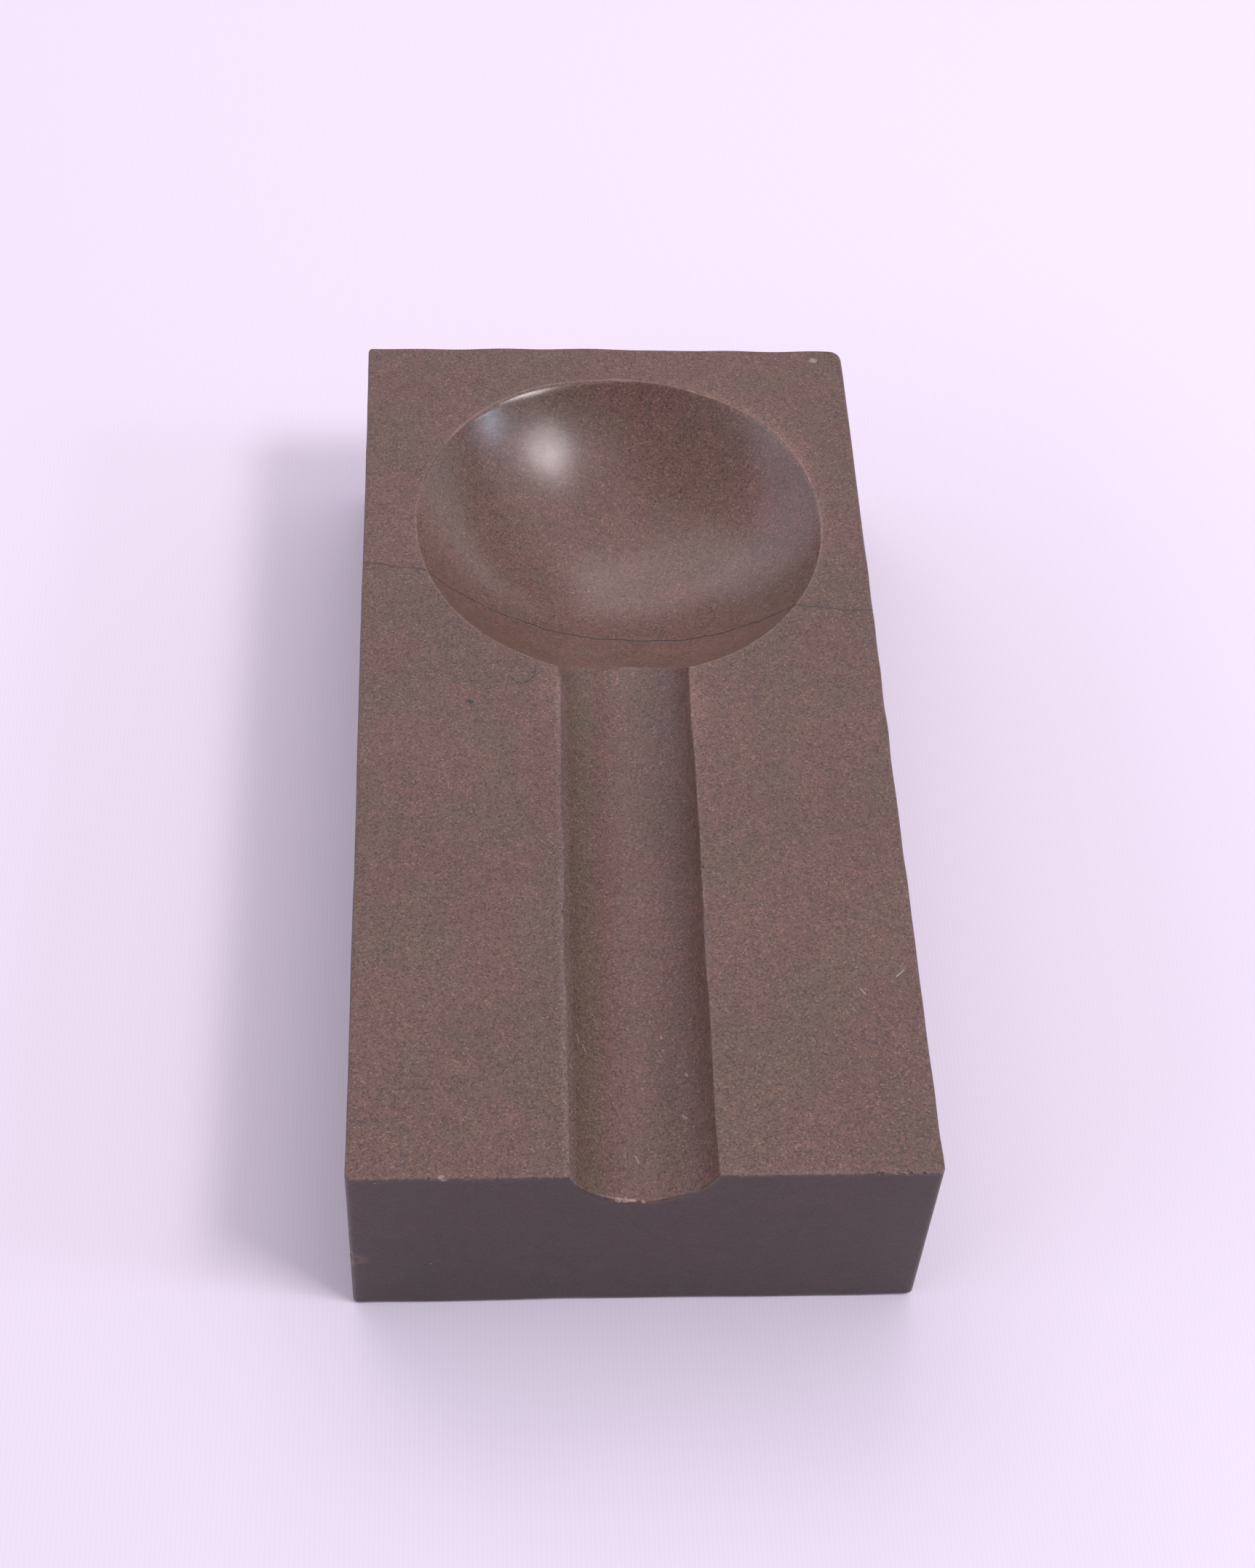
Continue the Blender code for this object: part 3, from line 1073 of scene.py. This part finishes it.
# Name, azimuth and elevation in degrees, distance, size, power in watts and colour
LIGHTS = [
    ("key", 119, 57, 1.2, (0.34, 0.22), 5.4, (1.0, 0.92, 0.95)),
    ("overhead", 52, 71, 0.9, (1.1, 0.9), 2.8, (1.0, 0.86, 0.90)),
    ("window", 104, 33, 1.2, (0.22, 0.18), 2.1, (0.60, 0.80, 1.0)),
    ("back_right", 52, 12, 1.3, (1.5, 0.5), 2.7, (0.98, 0.92, 0.98)),
    ("back_left", -12, 45, 1.3, (1.2, 0.8), 4.5, (1.0, 0.90, 0.94)),
    ("low_left", -50, 18, 1.3, (1.1, 0.7), 2.8, (0.84, 0.83, 1.0)),
    ("left", -105, 24, 1.3, (1.3, 0.6), 4.9, (0.88, 0.86, 1.0)),
]

# The even light from all round
ROOM_COLOUR = (0.92, 0.93, 1.0)
ROOM_LIGHT = 0.30


def ribbed_paper():
    """Matt lilac-white paper with very fine ribs that run away from the camera."""
    n = Nodes("ribbed_paper")
    at = n.make("TexCoord", {}, "Object")
    across = n.make("SeparateXYZ", {0: at})
    rib = n.math("SINE", n.math("MULTIPLY", across, TAU / RIB_WIDTH))
    fibre = n.noise(at, FIBRE_SIZE)
    tone = n.sum_of(0.99, (fibre, 0.02), (rib, 0.012))
    n.set(Base_Color=n.times(PAPER, tone), Roughness=PAPER_ROUGHNESS)
    n.fill(n.shader.inputs["Specular IOR Level"], 0.2)
    return n.material


def add_floor():
    mesh = bpy.data.meshes.new("floor")
    shape = bmesh.new()
    bmesh.ops.create_grid(shape, x_segments=1, y_segments=1, size=FLOOR_HALF)
    shape.to_mesh(mesh)
    shape.free()
    mesh.materials.append(ribbed_paper())
    floor = bpy.data.objects.new("floor", mesh)
    bpy.context.scene.collection.objects.link(floor)


def add_camera():
    data = bpy.data.cameras.new("camera")
    data.lens = CAMERA_LENS
    data.sensor_width = CAMERA_SENSOR
    data.clip_start = 0.01
    camera = bpy.data.objects.new("camera", data)
    bpy.context.scene.collection.objects.link(camera)
    along = Vector(
        (
            math.sin(CAMERA_AZIMUTH) * math.cos(CAMERA_DEPRESSION),
            math.cos(CAMERA_AZIMUTH) * math.cos(CAMERA_DEPRESSION),
            -math.sin(CAMERA_DEPRESSION),
        )
    )
    level = along.cross(Vector((0, 0, 1))).normalized()
    right = Matrix.Rotation(-CAMERA_ROLL, 3, along) @ level
    up = right.cross(along)
    aim = Vector((CAMERA_AIM[0], CAMERA_AIM[1], HEIGHT))
    turned = Matrix((right, up, -along)).transposed()
    camera.matrix_world = Matrix.Translation(aim - CAMERA_DISTANCE * along) @ turned.to_4x4()
    bpy.context.scene.camera = camera


def add_light(name, azimuth, elevation, distance, size, power, colour):
    """A rectangle of soft light that faces the stone. Azimuth 0 is beyond the bowl's end, 90 is at +X."""
    data = bpy.data.lights.new(name, "AREA")
    data.shape = "RECTANGLE"
    data.size = size[0]
    data.size_y = size[1]
    data.energy = power
    data.color = colour
    light = bpy.data.objects.new(name, data)
    bpy.context.scene.collection.objects.link(light)
    a = math.radians(azimuth)
    e = math.radians(elevation)
    out = Vector((math.sin(a) * math.cos(e), math.cos(a) * math.cos(e), math.sin(e)))
    light.location = out * distance
    light.rotation_mode = "QUATERNION"
    light.rotation_quaternion = out.to_track_quat("Z", "Y")


def add_lights():
    for light in LIGHTS:
        add_light(*light)
    world = bpy.data.worlds.new("pale_room")
    world.use_nodes = True
    background = world.node_tree.nodes["Background"]
    background.inputs["Color"].default_value = (*ROOM_COLOUR, 1)
    background.inputs["Strength"].default_value = ROOM_LIGHT
    bpy.context.scene.world = world


# ---------------------------------------------------------------- the scene

block = bpy.data.objects.new("basalt_block", stone_mesh("basalt_block"))
bpy.context.scene.collection.objects.link(block)
block.data.materials.append(basalt())
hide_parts("stone_block")
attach(block, "root")

add_floor()
add_lights()
add_camera()
bpy.context.scene.view_settings.view_transform = "Standard"
